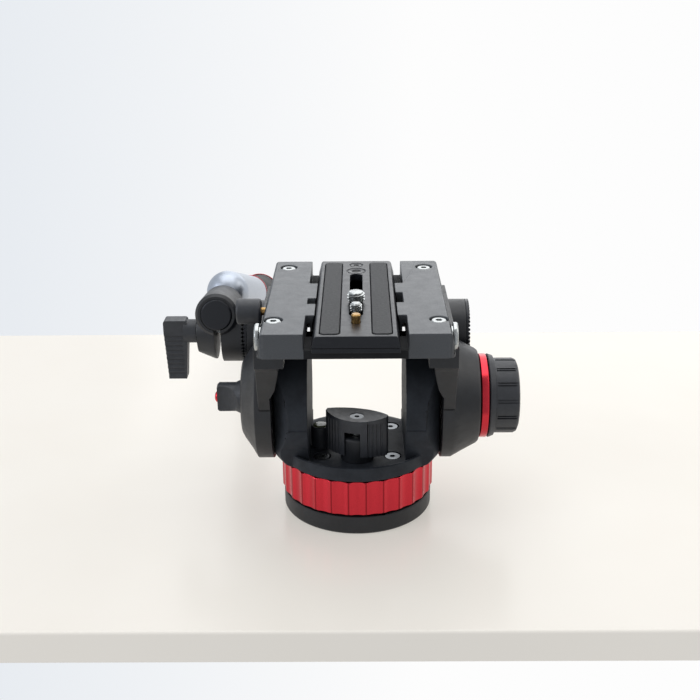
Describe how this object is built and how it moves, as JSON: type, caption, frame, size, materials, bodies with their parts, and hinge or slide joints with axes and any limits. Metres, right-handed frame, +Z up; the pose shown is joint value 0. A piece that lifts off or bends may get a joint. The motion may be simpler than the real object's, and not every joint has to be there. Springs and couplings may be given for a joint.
{
  "type": "fluid video head",
  "caption": "Pan and tilt fluid video head with a flat panning base, a tilting deck, a sliding dovetail camera plate, locking knobs and a rosette-mounted pan bar.",
  "frame": {"origin": "mouth of the tripod thread, in the middle of the base's underside", "axes": "+X towards the drag knob, -Y to the front of the deck, +Z up along the pan axis"},
  "size_m": [0.2051, 0.4168, 0.136],
  "materials": {
    "black_casting": "satin black powder coat",
    "grey_casting": "grey metallic paint, fine grit",
    "black_anodised": "black anodised",
    "red_anodised": "red anodised, turned",
    "silver_anodised": "satin silver anodised",
    "black_plastic": "moulded, fine grain",
    "black_rubber": "matt",
    "bright_steel": "bright zinc plate",
    "drum_metal": "turned",
    "brass": "turned",
    "vial_glass": "clear"
  },
  "bodies": {
    "base": {"base_plate": "black_casting", "thread_insert": "bright_steel", "pan_bearing": "bright_steel", "pan_thrust_washer": "brass", "pan_fluid_cartridge": "drum_metal"},
    "pan_ring": {"pan_drag_ring": "red_anodised"},
    "yoke_body": {"pan_spindle": "bright_steel", "spindle_clip": "bright_steel", "yoke": "black_casting", "floor_screws": "bright_steel", "pan_lock_post": "black_casting", "level_body": "black_plastic", "level_vial": "vial_glass", "tilt_axle_left": "bright_steel", "tilt_axle_right": "bright_steel"},
    "pan_lock": {"pan_lock_stud": "bright_steel", "pan_lock_knob": "black_plastic", "pan_lock_screw": "bright_steel"},
    "head": {"tilt_bearing_left": "bright_steel", "tilt_bearing_right": "bright_steel", "tilt_housing_left": "black_casting", "tilt_housing_right": "black_casting", "tilt_fluid_cartridge": "drum_metal", "counterbalance_spring": "bright_steel", "tilt_red_band": "red_anodised", "deck": "grey_casting", "deck_screws": "bright_steel", "accessory_insert_left": "bright_steel", "accessory_insert_right": "bright_steel", "rosette_left": "black_anodised", "rosette_right": "black_anodised"},
    "tilt_drag": {"tilt_drag_shaft": "bright_steel", "tilt_drag_knob": "black_plastic"},
    "tilt_lock": {"tilt_lock_lever": "black_plastic", "tilt_lock_stud": "bright_steel", "tilt_lock_cap": "red_anodised"},
    "plate": {"camera_plate": "black_anodised", "plate_pads": "black_rubber", "pin_plug": "bright_steel", "pin_spring": "bright_steel"},
    "slider_38": {"screw_washer_38": "brass"},
    "screw_38": {"camera_screw_38": "bright_steel"},
    "slider_14": {"screw_washer_14": "brass"},
    "screw_14": {"camera_screw_14": "bright_steel"},
    "pin": {"locating_pin": "brass"},
    "plate_lock": {"plate_lock_knob": "black_plastic", "plate_lock_stud": "brass"},
    "plate_shoe": {"plate_clamp_shoe": "bright_steel"},
    "bar": {"bar_clamp": "black_casting", "bar_spigot": "black_anodised", "bar_tube": "silver_anodised", "bar_grip": "black_rubber", "grip_front_ring": "red_anodised", "grip_end_ring": "red_anodised", "bar_lever_washer": "bright_steel"},
    "bar_lever_body": {"bar_lever": "black_plastic", "bar_clamp_bolt": "bright_steel"}
  },
  "joints": [
    {"name": "pan_turn", "type": "hinge", "parent": "base", "child": "yoke_body", "pos_m": [0, 0, 0], "axis": [0, 0, 1], "continuous": true},
    {"name": "pan_drag_turn", "type": "hinge", "parent": "base", "child": "pan_ring", "pos_m": [0, 0, 0], "axis": [0, 0, 1], "range_deg": [-90, 90]},
    {"name": "pan_lock_turn", "type": "hinge", "parent": "yoke_body", "child": "pan_lock", "pos_m": [0, -0.022, 0], "axis": [0, 0, 1], "range_deg": [-60, 30]},
    {"name": "tilt", "type": "hinge", "parent": "yoke_body", "child": "head", "pos_m": [0, 0, 0.0663], "axis": [1, 0, 0], "range_deg": [-70, 90]},
    {"name": "tilt_drag_turn", "type": "hinge", "parent": "head", "child": "tilt_drag", "pos_m": [0, 0, 0.0663], "axis": [1, 0, 0], "range_deg": [0, 270]},
    {"name": "tilt_lock_turn", "type": "hinge", "parent": "head", "child": "tilt_lock", "pos_m": [0, 0, 0.0663], "axis": [1, 0, 0], "range_deg": [-60, 30]},
    {"name": "plate_slide", "type": "slide", "parent": "head", "child": "plate", "axis": [0, 1, 0], "range_m": [-0.03, 0.03]},
    {"name": "screw38_slide", "type": "slide", "parent": "plate", "child": "slider_38", "axis": [0, 1, 0], "range_m": [0, 0.04]},
    {"name": "screw38_spin", "type": "hinge", "parent": "slider_38", "child": "screw_38", "pos_m": [0, -0.021, 0.13], "axis": [0, 0, 1], "continuous": true},
    {"name": "screw14_slide", "type": "slide", "parent": "plate", "child": "slider_14", "axis": [0, 1, 0], "range_m": [-0.002, 0.002]},
    {"name": "screw14_spin", "type": "hinge", "parent": "slider_14", "child": "screw_14", "pos_m": [0, -0.038, 0.13], "axis": [0, 0, 1], "continuous": true},
    {"name": "pin_press", "type": "slide", "parent": "plate", "child": "pin", "axis": [0, 0, -1], "range_m": [0, 0.0038], "stiffness_N_per_m": 600, "springref_m": -0.002, "deforming": ["pin_spring"]},
    {"name": "plate_lock_turn", "type": "hinge", "parent": "head", "child": "plate_lock", "pos_m": [0, -0.014, 0.1227], "axis": [1, 0, 0], "range_deg": [0, 270]},
    {"name": "plate_shoe_slide", "type": "slide", "parent": "head", "child": "plate_shoe", "axis": [-1, 0, 0], "range_m": [0, 0.00075]},
    {"name": "bar_swing", "type": "hinge", "parent": "head", "child": "bar", "pos_m": [0, 0.032, 0.0951], "axis": [1, 0, 0], "range_deg": [-30, 60]},
    {"name": "bar_lever_turn", "type": "hinge", "parent": "bar", "child": "bar_lever_body", "pos_m": [0, 0.032, 0.0951], "axis": [1, 0, 0], "continuous": true}
  ],
  "couplings": [
    {"joint": "plate_lock_turn", "follows": "plate_shoe_slide", "rad_per_m": 6250}
  ]
}
